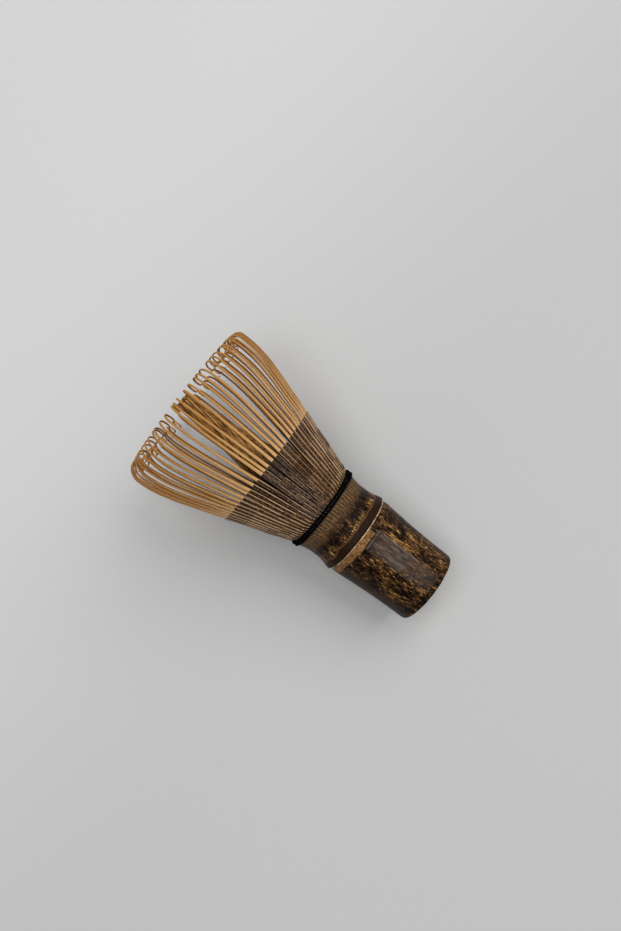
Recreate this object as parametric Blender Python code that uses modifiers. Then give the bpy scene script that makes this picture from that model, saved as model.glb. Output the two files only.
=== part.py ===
"""Bamboo tea whisk, standing on the end of its handle with its axis on Z.

One length of bamboo culm is the handle below the node and the neck above it. The culm wall above the neck is
split into strips: an outer ring of tines that flares into the crown, and an inner ring that closes into a core.
A cotton thread is wound between the two rings and twice round the outer one.
"""

import math

import bmesh
import bpy
from mathutils import Matrix, Vector

MM = 0.001

# Clearances between separate pieces
FIT_GAP = 0.3 * MM
TURN_GAP = 0.1 * MM

# Handle: the internode below the node, hollow and open at its end
HANDLE_LENGTH = 32.0 * MM
HANDLE_END_RADIUS = 13.7 * MM
HANDLE_MIDDLE_RADIUS = 14.3 * MM
NODE_RIDGE_RADIUS = 15.3 * MM
NODE_RIDGE_HEIGHT = 2.4 * MM
END_ROUNDING = 0.9 * MM
BORE_RADIUS = 10.2 * MM
SEPTUM_THICKNESS = 2.2 * MM

# Flat shaved on the front of the handle
FLAT_LENGTH = 27.0 * MM
FLAT_WIDTH = 8.0 * MM
FLAT_FROM_END = 2.0 * MM
FLAT_AZIMUTH = math.radians(-83)

# Neck: the unsplit internode above the node
NECK_LENGTH = 13.6 * MM
NECK_LIP_RADIUS = 15.75 * MM
NECK_LIP_HEIGHT = 1.6 * MM
NECK_WAIST_RADIUS = 14.7 * MM

# Root band of the split strips, which the thread holds and presses in from the neck
ROOT_HEIGHT = 2.7 * MM
OUTER_ROOT_RADIUS = 15.1 * MM
OUTER_ROOT_WALL = 1.35 * MM
PRESSED_IN = 0.35 * MM
INNER_ROOT_WALL = 1.2 * MM
THREAD_DIAMETER = 1.05 * MM
KNOT_LENGTH = 2.4 * MM
KNOT_AZIMUTH = math.radians(105)

# Splitting of the culm wall
STRIP_COUNT = 12
TINES_PER_STRIP = 6
OUTER_SLIT = 0.28 * MM
INNER_SLIT = 0.32 * MM

# Outer tine, from its root to its curled tip
SWEEP_ANGLE = math.radians(45)
SWEEP_LENGTH = 2.4 * MM
FLARE_ANGLE = math.radians(18.4)
FLARE_LENGTH = 40.0 * MM
CROWN_RADIUS = 52.0 * MM
SHOULDER_RADIUS = 6.5 * MM
SHOULDER_ANGLE = math.radians(50)
CURL_RADIUS = 1.7 * MM
CURL_ANGLE = math.radians(235)
OUTER_TINE_TIP_WIDTH = 0.55 * MM
OUTER_TINE_THICKNESS = 0.7 * MM
OUTER_TINE_TIP_SHARE = 0.5

# Inner tine, which bends in to the core. Neighbours lie in three layers there
CORE_LAYER_RADII = (2.4 * MM, 3.5 * MM, 4.6 * MM)
CORE_TWIST = math.radians(30)
INNER_TINE_HEIGHT = 61.6 * MM
INNER_TIP_SPREAD = 0.8 * MM
INNER_TINE_THICKNESS = 0.36 * MM
INNER_TINE_TIP_SHARE = 0.7

# Fineness of the round surfaces
CULM_STEPS = 32
THREAD_STEPS = 32
THREAD_SIDES = 6
CROWN_SEGMENTS = 2
SHOULDER_SEGMENTS = 2
CURL_SEGMENTS = 4
INNER_SEGMENTS = 5

# Heights and radii that follow
TINE_PITCH = math.tau / (STRIP_COUNT * TINES_PER_STRIP)
NECK_BASE_Z = HANDLE_LENGTH + FIT_GAP
NECK_TOP_Z = NECK_BASE_Z + NECK_LENGTH
ROOT_BASE_Z = NECK_TOP_Z + FIT_GAP
ROOT_TOP_Z = ROOT_BASE_Z + ROOT_HEIGHT
ROOT_MIDDLE_Z = ROOT_BASE_Z + ROOT_HEIGHT / 2
OUTER_ROOT_INNER_RADIUS = OUTER_ROOT_RADIUS - OUTER_ROOT_WALL
SPACER_TURN_RADIUS = OUTER_ROOT_INNER_RADIUS - FIT_GAP - THREAD_DIAMETER / 2
INNER_ROOT_RADIUS = SPACER_TURN_RADIUS - THREAD_DIAMETER / 2 - FIT_GAP
NECK_BORE_RADIUS = INNER_ROOT_RADIUS - INNER_ROOT_WALL
OUTER_TURN_RADIUS = OUTER_ROOT_RADIUS + FIT_GAP + THREAD_DIAMETER / 2
NECK_TOP_RADIUS = OUTER_ROOT_RADIUS + PRESSED_IN

# Tine widths that the slits leave
OUTER_TINE_WIDTH = TINE_PITCH * (OUTER_ROOT_RADIUS - OUTER_TINE_THICKNESS) - OUTER_SLIT
INNER_TINE_WIDTH = TINE_PITCH * NECK_BORE_RADIUS - INNER_SLIT
INNER_TINE_TIP_WIDTH = len(CORE_LAYER_RADII) * TINE_PITCH * min(CORE_LAYER_RADII) - INNER_SLIT


def clear_scene():
    for obj in list(bpy.data.objects):
        bpy.data.objects.remove(obj)


def bamboo(name, colour, roughness):
    material = bpy.data.materials.new(name)
    material.use_nodes = True
    shader = material.node_tree.nodes["Principled BSDF"]
    shader.inputs["Base Color"].default_value = (*colour, 1)
    shader.inputs["Roughness"].default_value = roughness
    shader.inputs["Metallic"].default_value = 0
    return material


def add_object(name, mesh, material=None):
    obj = bpy.data.objects.new(name, mesh)
    whisk.objects.link(obj)
    if material:
        mesh.materials.clear()
        mesh.materials.append(material)
    return obj


def evaluated_mesh(obj):
    """The mesh of obj with its modifiers applied, and obj itself gone."""
    bpy.context.view_layer.update()
    graph = bpy.context.evaluated_depsgraph_get()
    mesh = bpy.data.meshes.new_from_object(obj.evaluated_get(graph))
    bpy.data.objects.remove(obj)
    return mesh


def shade(mesh):
    mesh.shade_smooth()
    mesh.set_sharp_from_angle(angle=math.radians(35))


def turned(name, profile, material):
    """A turned piece: profile is (radius, height) points, down the outside and back up the bore."""
    mesh = bpy.data.meshes.new(name)
    bm = bmesh.new()
    corners = [bm.verts.new((radius, 0, height)) for radius, height in profile]
    for first, second in zip(corners, corners[1:] + corners[:1]):
        bm.edges.new((first, second))
    bm.to_mesh(mesh)
    bm.free()
    obj = add_object(name, mesh)
    screw = obj.modifiers.new("turn", "SCREW")
    screw.steps = screw.render_steps = CULM_STEPS
    screw.use_merge_vertices = True
    screw.merge_threshold = 0.00001
    mesh = evaluated_mesh(obj)
    shade(mesh)
    return add_object(name, mesh, material)


def make_handle(material):
    ridge_z = HANDLE_LENGTH - NODE_RIDGE_HEIGHT / 2
    below_ridge_z = HANDLE_LENGTH - 2 * NODE_RIDGE_HEIGHT
    below_ridge_radius = (NODE_RIDGE_RADIUS + HANDLE_MIDDLE_RADIUS) / 2
    handle = turned(
        "handle",
        [
            (NODE_RIDGE_RADIUS - FIT_GAP, HANDLE_LENGTH),
            (NODE_RIDGE_RADIUS, ridge_z),
            (NODE_RIDGE_RADIUS - FIT_GAP / 2, HANDLE_LENGTH - NODE_RIDGE_HEIGHT),
            (below_ridge_radius, below_ridge_z),
            (HANDLE_MIDDLE_RADIUS, HANDLE_LENGTH / 2),
            (HANDLE_END_RADIUS, HANDLE_LENGTH / 6),
            (HANDLE_END_RADIUS, END_ROUNDING),
            (HANDLE_END_RADIUS - END_ROUNDING * (1 - math.sqrt(0.5)), END_ROUNDING * (1 - math.sqrt(0.5))),
            (HANDLE_END_RADIUS - END_ROUNDING, 0),
            (BORE_RADIUS, 0),
            (BORE_RADIUS, HANDLE_LENGTH),
        ],
        material,
    )
    flat = make_flat_cutter()
    cut = handle.modifiers.new("shaved flat", "BOOLEAN")
    cut.operation = "DIFFERENCE"
    cut.object = flat
    return handle


def make_flat_cutter():
    """A box whose inner face shaves the flat, leaning with the taper of the handle."""
    top_z = FLAT_FROM_END + FLAT_LENGTH
    rise = (HANDLE_MIDDLE_RADIUS - HANDLE_END_RADIUS) / (HANDLE_LENGTH / 3)
    middle_radius = HANDLE_END_RADIUS + rise * (top_z / 2 - HANDLE_LENGTH / 6)
    face_distance = math.sqrt(middle_radius**2 - (FLAT_WIDTH / 2) ** 2)
    depth = HANDLE_END_RADIUS / 4
    bm = bmesh.new()
    bmesh.ops.create_cube(bm, size=1)
    bmesh.ops.scale(bm, vec=(depth, FLAT_WIDTH, FLAT_LENGTH), verts=bm.verts)
    mesh = bpy.data.meshes.new("flat_cutter")
    bm.to_mesh(mesh)
    bm.free()
    cutter = bpy.data.objects.new("flat_cutter", mesh)
    cutters.objects.link(cutter)
    lean = Matrix.Rotation(math.atan(rise), 4, "Y")
    place = Matrix.Translation((face_distance + depth / 2, 0, (FLAT_FROM_END + top_z) / 2))
    cutter.matrix_world = Matrix.Rotation(FLAT_AZIMUTH, 4, "Z") @ place @ lean
    cutter.hide_render = True
    cutter.display_type = "WIRE"
    return cutter


def make_septum(material):
    """The wall that closes the culm at its node."""
    bpy.ops.mesh.primitive_cylinder_add(
        vertices=CULM_STEPS,
        radius=BORE_RADIUS - FIT_GAP,
        depth=SEPTUM_THICKNESS,
        location=(0, 0, HANDLE_LENGTH - SEPTUM_THICKNESS / 2),
    )
    septum = bpy.context.object
    septum.name = "node_septum"
    shade(septum.data)
    septum.data.materials.append(material)
    move_to_collection(septum)
    return septum


def make_neck(material):
    waist_z = NECK_BASE_Z + NECK_LENGTH * 0.55
    lip_top_z = NECK_BASE_Z + NECK_LIP_HEIGHT
    return turned(
        "neck",
        [
            (NECK_TOP_RADIUS, NECK_TOP_Z),
            ((NECK_TOP_RADIUS + NECK_WAIST_RADIUS) / 2, NECK_TOP_Z - NECK_LENGTH / 5),
            (NECK_WAIST_RADIUS, waist_z),
            (NECK_WAIST_RADIUS, waist_z - NECK_LENGTH / 6),
            ((NECK_LIP_RADIUS + NECK_WAIST_RADIUS) / 2, (lip_top_z + waist_z - NECK_LENGTH / 6) / 2),
            (NECK_LIP_RADIUS, lip_top_z),
            (NECK_LIP_RADIUS, NECK_BASE_Z + FIT_GAP),
            (NECK_LIP_RADIUS - FIT_GAP, NECK_BASE_Z),
            (NECK_BORE_RADIUS, NECK_BASE_Z),
            (NECK_BORE_RADIUS, NECK_TOP_Z),
        ],
        material,
    )


def move_to_collection(obj):
    for collection in list(obj.users_collection):
        collection.objects.unlink(obj)
    whisk.objects.link(obj)


def root_sector(radius, wall):
    """The band that joins one strip's tines at their root, as a sector centred on +X."""
    angle = math.tau / STRIP_COUNT - FIT_GAP / radius
    bm = bmesh.new()
    section = [
        bm.verts.new((r, 0, z))
        for r, z in (
            (radius - wall, ROOT_BASE_Z),
            (radius, ROOT_BASE_Z),
            (radius, ROOT_TOP_Z),
            (radius - wall, ROOT_TOP_Z),
        )
    ]
    face = bm.faces.new(section)
    bmesh.ops.rotate(bm, verts=section, matrix=Matrix.Rotation(-angle / 2, 3, "Z"))
    bmesh.ops.spin(
        bm,
        geom=[face, *face.edges, *face.verts],
        axis=(0, 0, 1),
        cent=(0, 0, 0),
        angle=angle,
        steps=TINES_PER_STRIP // 2,
    )
    bmesh.ops.recalc_face_normals(bm, faces=bm.faces)
    mesh = bpy.data.meshes.new("root_sector")
    bm.to_mesh(mesh)
    bm.free()
    return add_object("root_sector", mesh)


def arc(points, lean, radius, angle, segments):
    """Continues a path by an arc that turns inwards. points are (radius, height); lean is the angle off vertical."""
    step = angle / segments
    chord = 2 * radius * math.sin(step / 2)
    for _ in range(segments):
        r, z = points[-1]
        middle = lean - step / 2
        points.append((r + chord * math.sin(middle), z + chord * math.cos(middle)))
        lean -= step
    return lean


def straight(points, lean, length):
    r, z = points[-1]
    points.append((r + length * math.sin(lean), z + length * math.cos(lean)))


def outer_tine_path():
    """Outer face of an outer tine as (radius, height) points, from inside its root band to the end of its curl."""
    points = [(OUTER_ROOT_RADIUS - OUTER_TINE_THICKNESS / 4, ROOT_TOP_Z - ROOT_HEIGHT / 3)]
    straight(points, 0, ROOT_HEIGHT / 3)
    straight(points, SWEEP_ANGLE, SWEEP_LENGTH)
    straight(points, FLARE_ANGLE, FLARE_LENGTH)
    lean = arc(points, FLARE_ANGLE, CROWN_RADIUS, FLARE_ANGLE, CROWN_SEGMENTS)
    lean = arc(points, lean, SHOULDER_RADIUS, SHOULDER_ANGLE, SHOULDER_SEGMENTS)
    arc(points, lean, CURL_RADIUS, CURL_ANGLE, CURL_SEGMENTS)
    return points


def inner_tine_path(layer_radius):
    """Middle of an inner tine as (radius, height) points: it bends in to its layer of the core and spreads at its tip."""
    start_radius = INNER_ROOT_RADIUS - INNER_ROOT_WALL / 2
    points = [(start_radius, ROOT_TOP_Z - ROOT_HEIGHT / 3)]
    for i in range(INNER_SEGMENTS):
        share = i / (INNER_SEGMENTS - 1)
        radius = layer_radius + (start_radius - layer_radius) * (1 - share) ** 2
        spread = INNER_TIP_SPREAD * max(0, 5 * share - 4)
        points.append((radius + spread, ROOT_TOP_Z + INNER_TINE_HEIGHT * share))
    return points


def blade(path, widths, thickness, tip_share, offset, twist=0.0):
    """A tine: a ribbon along path, tapered from root to tip, with a wall. It lies on +X."""
    bm = bmesh.new()
    count = len(path)
    rails = []
    for i, (radius, height) in enumerate(path):
        share = i / (count - 1)
        half = (widths[0] + (widths[1] - widths[0]) * share**2) / 2
        above_root = max(0, i - 1) / (count - 2)
        turn = Matrix.Rotation(twist * above_root, 3, "Z")
        rails.append([bm.verts.new(turn @ Vector((radius, y, height))) for y in (-half, half)])
    for (a, b), (c, d) in zip(rails, rails[1:]):
        bm.faces.new((a, b, d, c))
    mesh = bpy.data.meshes.new("blade")
    bm.to_mesh(mesh)
    bm.free()
    obj = add_object("blade", mesh)
    taper = obj.vertex_groups.new(name="taper")
    for i in range(count):
        taper.add([2 * i, 2 * i + 1], 1 - i / (count - 1), "REPLACE")
    wall = obj.modifiers.new("wall", "SOLIDIFY")
    wall.thickness = thickness
    wall.offset = offset
    wall.use_even_offset = True
    wall.vertex_group = taper.name
    wall.thickness_vertex_group = tip_share
    return evaluated_mesh(obj)


def strip_mesh(name, root, blades):
    """One strip: its tines, each turned to its place, joined to the root band."""
    joined = bpy.data.collections.new(name + "_tines")
    bpy.context.scene.collection.children.link(joined)
    for i, mesh in enumerate(blades):
        tine = bpy.data.objects.new(f"{name}_tine_{i}", mesh)
        tine.rotation_euler.z = (i - (TINES_PER_STRIP - 1) / 2) * TINE_PITCH
        joined.objects.link(tine)
    union = root.modifiers.new("tines", "BOOLEAN")
    union.operation = "UNION"
    union.operand_type = "COLLECTION"
    union.collection = joined
    mesh = evaluated_mesh(root)
    for tine in list(joined.objects):
        bpy.data.objects.remove(tine)
    bpy.data.collections.remove(joined)
    shade(mesh)
    return mesh


def place_strips(name, mesh, material, pivot_radius, turn=0.0):
    """STRIP_COUNT copies round the axis, each with its origin on its own hinge line at the thread."""
    mesh.transform(Matrix.Translation((-pivot_radius, 0, -ROOT_MIDDLE_Z)))
    for i in range(STRIP_COUNT):
        azimuth = i * math.tau / STRIP_COUNT + turn
        strip = add_object(f"{name}_{i + 1:02d}", mesh, material)
        strip.location = (pivot_radius * math.cos(azimuth), pivot_radius * math.sin(azimuth), ROOT_MIDDLE_Z)
        strip.rotation_euler.z = azimuth


def make_outer_strips(material):
    widths = (OUTER_TINE_WIDTH, OUTER_TINE_TIP_WIDTH)
    tine = blade(outer_tine_path(), widths, OUTER_TINE_THICKNESS, OUTER_TINE_TIP_SHARE, offset=-1)
    root = root_sector(OUTER_ROOT_RADIUS, OUTER_ROOT_WALL)
    mesh = strip_mesh("outer_strip", root, [tine] * TINES_PER_STRIP)
    place_strips("outer_strip", mesh, material, OUTER_ROOT_RADIUS - OUTER_ROOT_WALL / 2)


def make_inner_strips(material):
    widths = (INNER_TINE_WIDTH, INNER_TINE_TIP_WIDTH)
    layers = [
        blade(inner_tine_path(radius), widths, INNER_TINE_THICKNESS, INNER_TINE_TIP_SHARE, offset=0, twist=CORE_TWIST)
        for radius in CORE_LAYER_RADII
    ]
    root = root_sector(INNER_ROOT_RADIUS, INNER_ROOT_WALL)
    tines = [layers[i % len(layers)] for i in range(TINES_PER_STRIP)]
    mesh = strip_mesh("inner_strip", root, tines)
    place_strips("inner_strip", mesh, material, INNER_ROOT_RADIUS - INNER_ROOT_WALL / 2, TINE_PITCH / 2)


def thread_turn(name, radius, height, material):
    bpy.ops.mesh.primitive_torus_add(
        major_segments=THREAD_STEPS,
        minor_segments=THREAD_SIDES,
        major_radius=radius,
        minor_radius=THREAD_DIAMETER / 2,
        location=(0, 0, height),
    )
    turn = bpy.context.object
    turn.name = name
    turn.data.shade_smooth()
    turn.data.materials.append(material)
    move_to_collection(turn)


def make_thread(material):
    """The cotton binding: a turn between the two rings of tines, two turns outside them, and the knot."""
    half_pitch = (THREAD_DIAMETER + TURN_GAP) / 2
    thread_turn("thread_spacer_turn", SPACER_TURN_RADIUS, ROOT_MIDDLE_Z, material)
    thread_turn("thread_lower_turn", OUTER_TURN_RADIUS, ROOT_MIDDLE_Z - half_pitch, material)
    thread_turn("thread_upper_turn", OUTER_TURN_RADIUS, ROOT_MIDDLE_Z + half_pitch, material)
    knot_radius = NECK_TOP_RADIUS + FIT_GAP + THREAD_DIAMETER / 2
    knot_z = ROOT_MIDDLE_Z - THREAD_DIAMETER - TURN_GAP / 2 - FIT_GAP - THREAD_DIAMETER / 2
    bpy.ops.mesh.primitive_uv_sphere_add(segments=12, ring_count=6, radius=0.5)
    knot = bpy.context.object
    knot.name = "thread_knot"
    knot.data.transform(Matrix.Diagonal((THREAD_DIAMETER, KNOT_LENGTH, THREAD_DIAMETER, 1)))
    knot.data.shade_smooth()
    knot.data.materials.append(material)
    knot.location = (knot_radius * math.cos(KNOT_AZIMUTH), knot_radius * math.sin(KNOT_AZIMUTH), knot_z)
    knot.rotation_euler.z = KNOT_AZIMUTH
    move_to_collection(knot)


clear_scene()
whisk = bpy.data.collections.new("bamboo_tea_whisk")
cutters = bpy.data.collections.new("cutters")
bpy.context.scene.collection.children.link(whisk)
bpy.context.scene.collection.children.link(cutters)

smoked_skin = bamboo("smoked_bamboo_skin", (0.12, 0.055, 0.022), 0.45)
cut_bamboo = bamboo("cut_bamboo", (0.48, 0.31, 0.15), 0.6)
shaved_bamboo = bamboo("shaved_bamboo", (0.55, 0.33, 0.13), 0.5)
core_bamboo = bamboo("core_bamboo", (0.32, 0.17, 0.06), 0.6)
black_thread = bamboo("black_cotton_thread", (0.008, 0.008, 0.01), 0.85)

make_handle(smoked_skin)
make_septum(cut_bamboo)
make_neck(smoked_skin)
make_outer_strips(shaved_bamboo)
make_inner_strips(core_bamboo)
make_thread(black_thread)
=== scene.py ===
"""Bamboo tea whisk: a smoked culm for its handle and neck, split tines bound with black cotton, and a
twisted core."""

import math
import random

import bpy
from mathutils import Matrix, Vector


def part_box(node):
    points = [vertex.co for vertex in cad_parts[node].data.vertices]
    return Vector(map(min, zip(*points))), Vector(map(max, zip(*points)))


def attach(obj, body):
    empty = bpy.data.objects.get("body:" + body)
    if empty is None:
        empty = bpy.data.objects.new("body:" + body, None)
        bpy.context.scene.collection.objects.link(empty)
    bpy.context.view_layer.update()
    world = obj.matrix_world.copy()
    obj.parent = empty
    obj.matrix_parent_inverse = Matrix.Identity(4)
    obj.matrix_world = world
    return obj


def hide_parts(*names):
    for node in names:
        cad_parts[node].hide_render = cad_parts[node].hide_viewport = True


MM = 0.001
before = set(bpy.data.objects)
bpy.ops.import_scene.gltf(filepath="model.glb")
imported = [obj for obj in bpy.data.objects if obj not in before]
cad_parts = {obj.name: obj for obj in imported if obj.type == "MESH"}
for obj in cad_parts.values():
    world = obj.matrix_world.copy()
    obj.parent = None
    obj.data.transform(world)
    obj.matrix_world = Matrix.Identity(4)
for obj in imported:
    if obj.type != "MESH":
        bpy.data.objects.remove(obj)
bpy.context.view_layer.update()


def in_mm(points):
    """Pairs given in millimetres, in metres."""
    return [(first * MM, second * MM) for first, second in points]


# Heights on the whisk and the count of its tines, from its frame
HANDLE_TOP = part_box("handle")[1].z
NECK_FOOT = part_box("neck")[0].z
NECK_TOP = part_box("neck")[1].z
ROOT_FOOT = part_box("outer_strip_01")[0].z
CROWN_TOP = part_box("outer_strip_01")[1].z
CORE_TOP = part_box("inner_strip_01")[1].z
STRIPS = sum(name.startswith("outer_strip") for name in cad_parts)
TINES_PER_STRIP = 6
TINE_PITCH = math.tau / (STRIPS * TINES_PER_STRIP)

# The culm: its bores, and the radii beyond which a face is skin and not raw wood
BORE = 10.2 * MM
NECK_BORE = 10.9 * MM
HANDLE_SKIN_RADIUS = 13.1 * MM
NECK_SKIN_RADIUS = 14.1 * MM
HANDLE_SIDES = 192
NECK_SIDES = 288

# The flat on the front of the handle
PANEL_AZIMUTH = math.radians(-81)
PANEL_WIDTH = 8.3 * MM
PANEL_HEIGHT = 27.2 * MM
PANEL_MIDDLE = 15.6 * MM
PANEL_TOP = PANEL_MIDDLE + PANEL_HEIGHT / 2
PANEL_DISTANCE = 13.62 * MM
PANEL_LEAN = math.radians(2.8)
PANEL_OUTWARD = Vector((math.cos(PANEL_AZIMUTH), math.sin(PANEL_AZIMUTH), 0))
PANEL_ACROSS = Vector((-PANEL_OUTWARD.y, PANEL_OUTWARD.x, 0))
PANEL_FLOOR = 12.6 * MM
PANEL_BORDER = 0.28 * MM
PANEL_GROOVE_WIDTH = 0.04 * MM
PANEL_GROOVE_DEPTH = 0.1 * MM
PANEL_ROUNDING = 0.12 * MM

# The slits between the tines, which run down into the neck
NECK_SLIT_LENGTH = 2.5 * MM
NECK_SLIT_SHARE = 0.1
NECK_SLIT_SINK = 0.986

# The outer tines. Widths and thicknesses are given by height
SKIN_TOP = 72.7 * MM
TINE_WIDTHS = in_mm(
    [(46, 1.06), (50, 1.02), (56, 1.08), (66, 1.22), (72.7, 1.28)]
    + [(72.8, 1.06), (82, 0.92), (92, 0.82), (104, 0.74), (109, 0.68)]
)
TINE_THICKNESSES = in_mm(
    [(46, 0.85), (52, 0.84), (72.6, 0.76), (72.8, 0.6), (88, 0.5), (104, 0.45), (109, 0.42)]
)
TINE_EDGE = 0.09 * MM
SHOULDER_TURN = math.radians(50)
SHOULDER_STEPS = 4
CURL_STEPS = 12
CURL_RADII = (2.15, 2.75)
CURL_DEGREES = (220, 285)
CURL_TIGHTENING = 0.55
PATTERNS = 10
SIDEWAYS_LEAN = math.radians(0.75)
MOST_SIDEWAYS = 1.6 * SIDEWAYS_LEAN
EDGE_LEAN_SHARE = 0.5
RADIAL_LEAN = math.radians(0.22)
SKIN_SLOT, PEELED_SLOT, SPLIT_SLOT, INNER_SLOT = range(4)

# The uncut band at the foot of each strip, and the point that each tine leans about
BAND_HEIGHT = 2.5 * MM
BAND_GAP = 0.25 * MM
OUTER_BAND_RADIUS = 14.9 * MM
OUTER_BAND_WALL = 1.2 * MM
CORE_BAND_RADIUS = 12.0 * MM
CORE_BAND_WALL = 1.1 * MM
LEAN_HEIGHT = ROOT_FOOT + 2 * MM
LEAN_RADIUS = 15.3 * MM

# The core
CORE_ROOT_RADIUS = 11.5 * MM
CORE_LAYERS = (1.2 * MM, 2.1 * MM, 2.9 * MM)
CORE_CLOSING = 1.45
CORE_STEPS = 16
CORE_CURL_STEPS = 8
CORE_CURL_TIGHTENING = 0.6
CORE_TWIST = math.radians(145)
CORE_LEAN = math.radians(0.25)
CORE_UNEVENNESS = 0.16

# The thread
COTTON_DIAMETER = 1.2 * MM
PLY_SHARE = 0.3
PLY_SPREAD = 0.65
OUTER_TWISTS = 45
SPACER_TWISTS = 38


# ---------------------------------------------------------------- modelling


def deselect():
    if bpy.context.object and bpy.context.object.mode != "OBJECT":
        bpy.ops.object.mode_set(mode="OBJECT")
    bpy.ops.object.select_all(action="DESELECT")


def pick(piece):
    """Selects this piece alone and makes it the active one."""
    deselect()
    piece.select_set(True)
    bpy.context.view_layer.objects.active = piece


def edit(piece):
    """Opens the piece in edit mode with nothing selected."""
    pick(piece)
    bpy.ops.object.mode_set(mode="EDIT")
    bpy.ops.mesh.select_mode(type="VERT")
    bpy.ops.mesh.select_all(action="DESELECT")


def object_mode():
    bpy.ops.object.mode_set(mode="OBJECT")


def select_faces(piece, wanted):
    """Selects the faces for which wanted(face) is true, and leaves the piece in edit mode."""
    edit(piece)
    bpy.ops.mesh.select_mode(type="FACE")
    object_mode()
    for face in piece.data.polygons:
        face.select = wanted(face)
    bpy.ops.object.mode_set(mode="EDIT")


def select_points(piece, wanted):
    """Selects the points for which wanted(place) is true, and leaves the piece in edit mode."""
    edit(piece)
    object_mode()
    for point in piece.data.vertices:
        point.select = wanted(point.co)
    bpy.ops.object.mode_set(mode="EDIT")


def apply_modifier(piece, kind, **settings):
    pick(piece)
    modifier = piece.modifiers.new(kind.lower(), kind)
    for key, value in settings.items():
        setattr(modifier, key, value)
    bpy.ops.object.modifier_apply(modifier=modifier.name)


def settle(piece):
    """Puts the piece's place into its mesh, with its object at the origin."""
    pick(piece)
    bpy.ops.object.transform_apply(location=True, rotation=True, scale=True)


def smooth(piece, degrees):
    """Shades smooth across edges flatter than this angle."""
    pick(piece)
    bpy.ops.object.shade_smooth_by_angle(angle=math.radians(degrees))


def face_out(piece, merge=0.001 * MM):
    """Merges points nearer than merge and turns the faces outwards."""
    edit(piece)
    bpy.ops.mesh.select_all(action="SELECT")
    bpy.ops.mesh.remove_doubles(threshold=merge)
    bpy.ops.mesh.normals_make_consistent(inside=False)
    object_mode()


def copy_of(piece, name):
    """A copy with a mesh of its own."""
    pick(piece)
    bpy.ops.object.duplicate(linked=False)
    bpy.context.object.name = name
    return bpy.context.object


def join(name, pieces):
    """One piece out of several, which keep their shells."""
    deselect()
    for piece in pieces:
        piece.select_set(True)
    bpy.context.view_layer.objects.active = pieces[0]
    bpy.ops.object.join()
    joined = bpy.context.object
    joined.name = name
    return joined


def discard(*pieces):
    for piece in pieces:
        bpy.data.objects.remove(piece)


def turn_tube(name, sides, outline):
    """A tube drawn from a circle, ring by ring, along a closed outline of (radius, height) points."""
    deselect()
    radius, height = outline[0]
    bpy.ops.mesh.primitive_circle_add(vertices=sides, radius=radius, location=(0, 0, height))
    tube = bpy.context.object
    tube.name = name
    bpy.ops.object.mode_set(mode="EDIT")
    bpy.ops.mesh.select_mode(type="VERT")
    bpy.ops.mesh.select_all(action="SELECT")
    for next_radius, next_height in outline[1:]:
        rise = (0, 0, next_height - height)
        bpy.ops.mesh.extrude_region_move(TRANSFORM_OT_translate={"value": rise})
        share = next_radius / radius
        bpy.ops.transform.resize(value=(share, share, 1), center_override=(0, 0, next_height))
        radius, height = next_radius, next_height
    bpy.ops.mesh.select_all(action="DESELECT")
    bpy.ops.mesh.select_non_manifold()
    bpy.ops.mesh.bridge_edge_loops()
    object_mode()
    settle(tube)
    face_out(tube)
    return tube


def through(a, b, c, d, t):
    """The value at t, from 0 at b to 1 at c, on the smooth curve that runs through a, b, c and d."""
    square = (2 * a - 5 * b + 4 * c - d) * t**2
    cube = (3 * b - a - 3 * c + d) * t**3
    return 0.5 * (2 * b + (c - a) * t + square + cube)


def rounded(points, per_span=4):
    """A smooth run through the points, which are (radius, height)."""
    ends = [points[0], *points, points[-1]]
    run = []
    for before, start, end, after in zip(ends, ends[1:], ends[2:], ends[3:]):
        for i in range(per_span):
            t = i / per_span
            run.append(tuple(through(*four, t) for four in zip(before, start, end, after)))
    return [*run, points[-1]]


def roughen(piece, size, depth, direction="NORMAL"):
    """Small uneven swellings, size across and up to half of depth high or low."""
    clouds = bpy.data.textures.new(piece.name + "_swellings", "CLOUDS")
    clouds.noise_scale = size
    clouds.noise_depth = 2
    apply_modifier(
        piece, "DISPLACE", texture=clouds, strength=depth, mid_level=0.5, direction=direction
    )


def heading(start, end):
    """The lean off vertical, outwards from the axis, of the line from start to end."""
    return math.atan2(end[0] - start[0], end[1] - start[1])


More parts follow.
